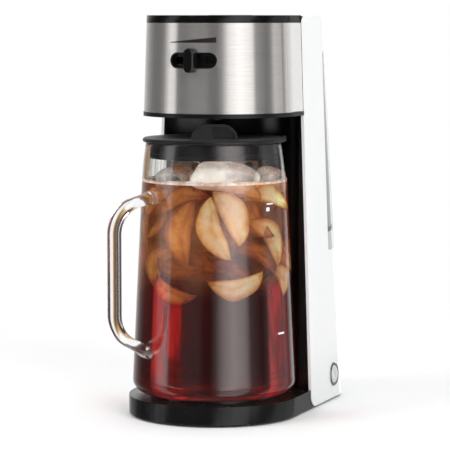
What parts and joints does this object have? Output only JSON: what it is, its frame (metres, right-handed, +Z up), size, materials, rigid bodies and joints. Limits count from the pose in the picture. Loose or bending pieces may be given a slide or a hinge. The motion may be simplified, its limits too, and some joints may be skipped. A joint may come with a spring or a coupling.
{
  "type": "iced tea maker",
  "caption": "Countertop iced tea maker: glass pitcher with a black lid under a steel-clad brewing head, lift-out brew basket, tapered white tank housing, strength lever, side power button.",
  "frame": {"origin": "on the table under the middle of the object", "axes": "+X to the right seen from the front, +Y towards the back, +Z up"},
  "size_m": [0.1518, 0.2473, 0.3456],
  "materials": {
    "black_gloss": "polished black moulding",
    "black_matte": "satin black moulding",
    "white_gloss": "polished white moulding",
    "brushed_steel": "brushed along the band",
    "steel_small": "plain",
    "chrome": "bright",
    "aluminium": "as cast",
    "rubber": "matte",
    "silicone": "translucent white",
    "ceramic_white": "matte white",
    "filter_black": "satin",
    "tank_clear": "clear with a faint tint",
    "valve_clear": "cloudy clear",
    "window_smoke": "clear grey",
    "glass": "clear"
  },
  "bodies": {
    "machine": {"base_tray": "black_gloss", "base_plate": "black_matte", "rubber_feet": "rubber", "base_screws": "steel_small", "column_panel": "black_gloss", "rear_housing": "white_gloss", "head_frame": "black_matte", "seam_strip": "black_gloss", "steel_band": "brushed_steel", "slot_liner": "black_matte", "water_tank": "tank_clear", "tank_seal": "silicone", "level_window": "window_smoke", "heater": "aluminium", "heater_clamps": "steel_small", "thermostat": "aluminium", "thermal_fuse": "ceramic_white", "inlet_hose": "silicone", "check_valve": "valve_clear", "riser_hose": "silicone", "water_nozzle": "black_matte", "power_switch": "black_matte", "button_ring": "chrome", "cord_gland": "rubber", "terminal_block": "ceramic_white", "tank_lid_pins": "steel_small"},
    "strength_slider": {"strength_lever": "black_gloss", "lever_carrier": "black_matte"},
    "basket": {"brew_basket": "black_matte", "filter_frame": "filter_black", "filter_mesh": "steel_small", "basket_lid_pin": "steel_small"},
    "head_lid": {"basket_lid": "black_gloss"},
    "filling_lid": {"tank_lid": "white_gloss"},
    "power_button": {"button_cap": "white_gloss", "button_spring": "steel_small"},
    "pitcher": {"glass_pitcher": "glass"},
    "pitcher_cover": {"pitcher_lid": "black_matte", "lid_gasket": "silicone"}
  },
  "joints": [
    {"name": "strength_swing", "type": "hinge", "parent": "machine", "child": "strength_slider", "pos_m": [0, -0.016, 0.3075], "axis": [0, 0, 1], "range_deg": [-14, 14]},
    {"name": "basket_lift", "type": "slide", "parent": "machine", "child": "basket", "axis": [0, 0, 1], "range_m": [0, 0.12]},
    {"name": "basket_lid_hinge", "type": "hinge", "parent": "basket", "child": "head_lid", "pos_m": [0, 0.0062, 0.3434], "axis": [-1, 0, 0], "range_deg": [0, 90]},
    {"name": "tank_lid_hinge", "type": "hinge", "parent": "machine", "child": "filling_lid", "pos_m": [0, 0.0854, 0.3432], "axis": [-1, 0, 0], "range_deg": [0, 95]},
    {"name": "power_press", "type": "slide", "parent": "machine", "child": "power_button", "axis": [-0.9995, 0, -0.0328], "range_m": [0, 0.002], "stiffness_N_per_m": 400, "springref_m": -0.002},
    {"name": "pitcher_draw", "type": "slide", "parent": "machine", "child": "pitcher", "axis": [0, -1, 0], "range_m": [0, 0.2]},
    {"name": "pitcher_lid_turn", "type": "hinge", "parent": "pitcher", "child": "pitcher_cover", "pos_m": [0, -0.031, 0.24], "axis": [0, 0, 1], "continuous": true}
  ]
}
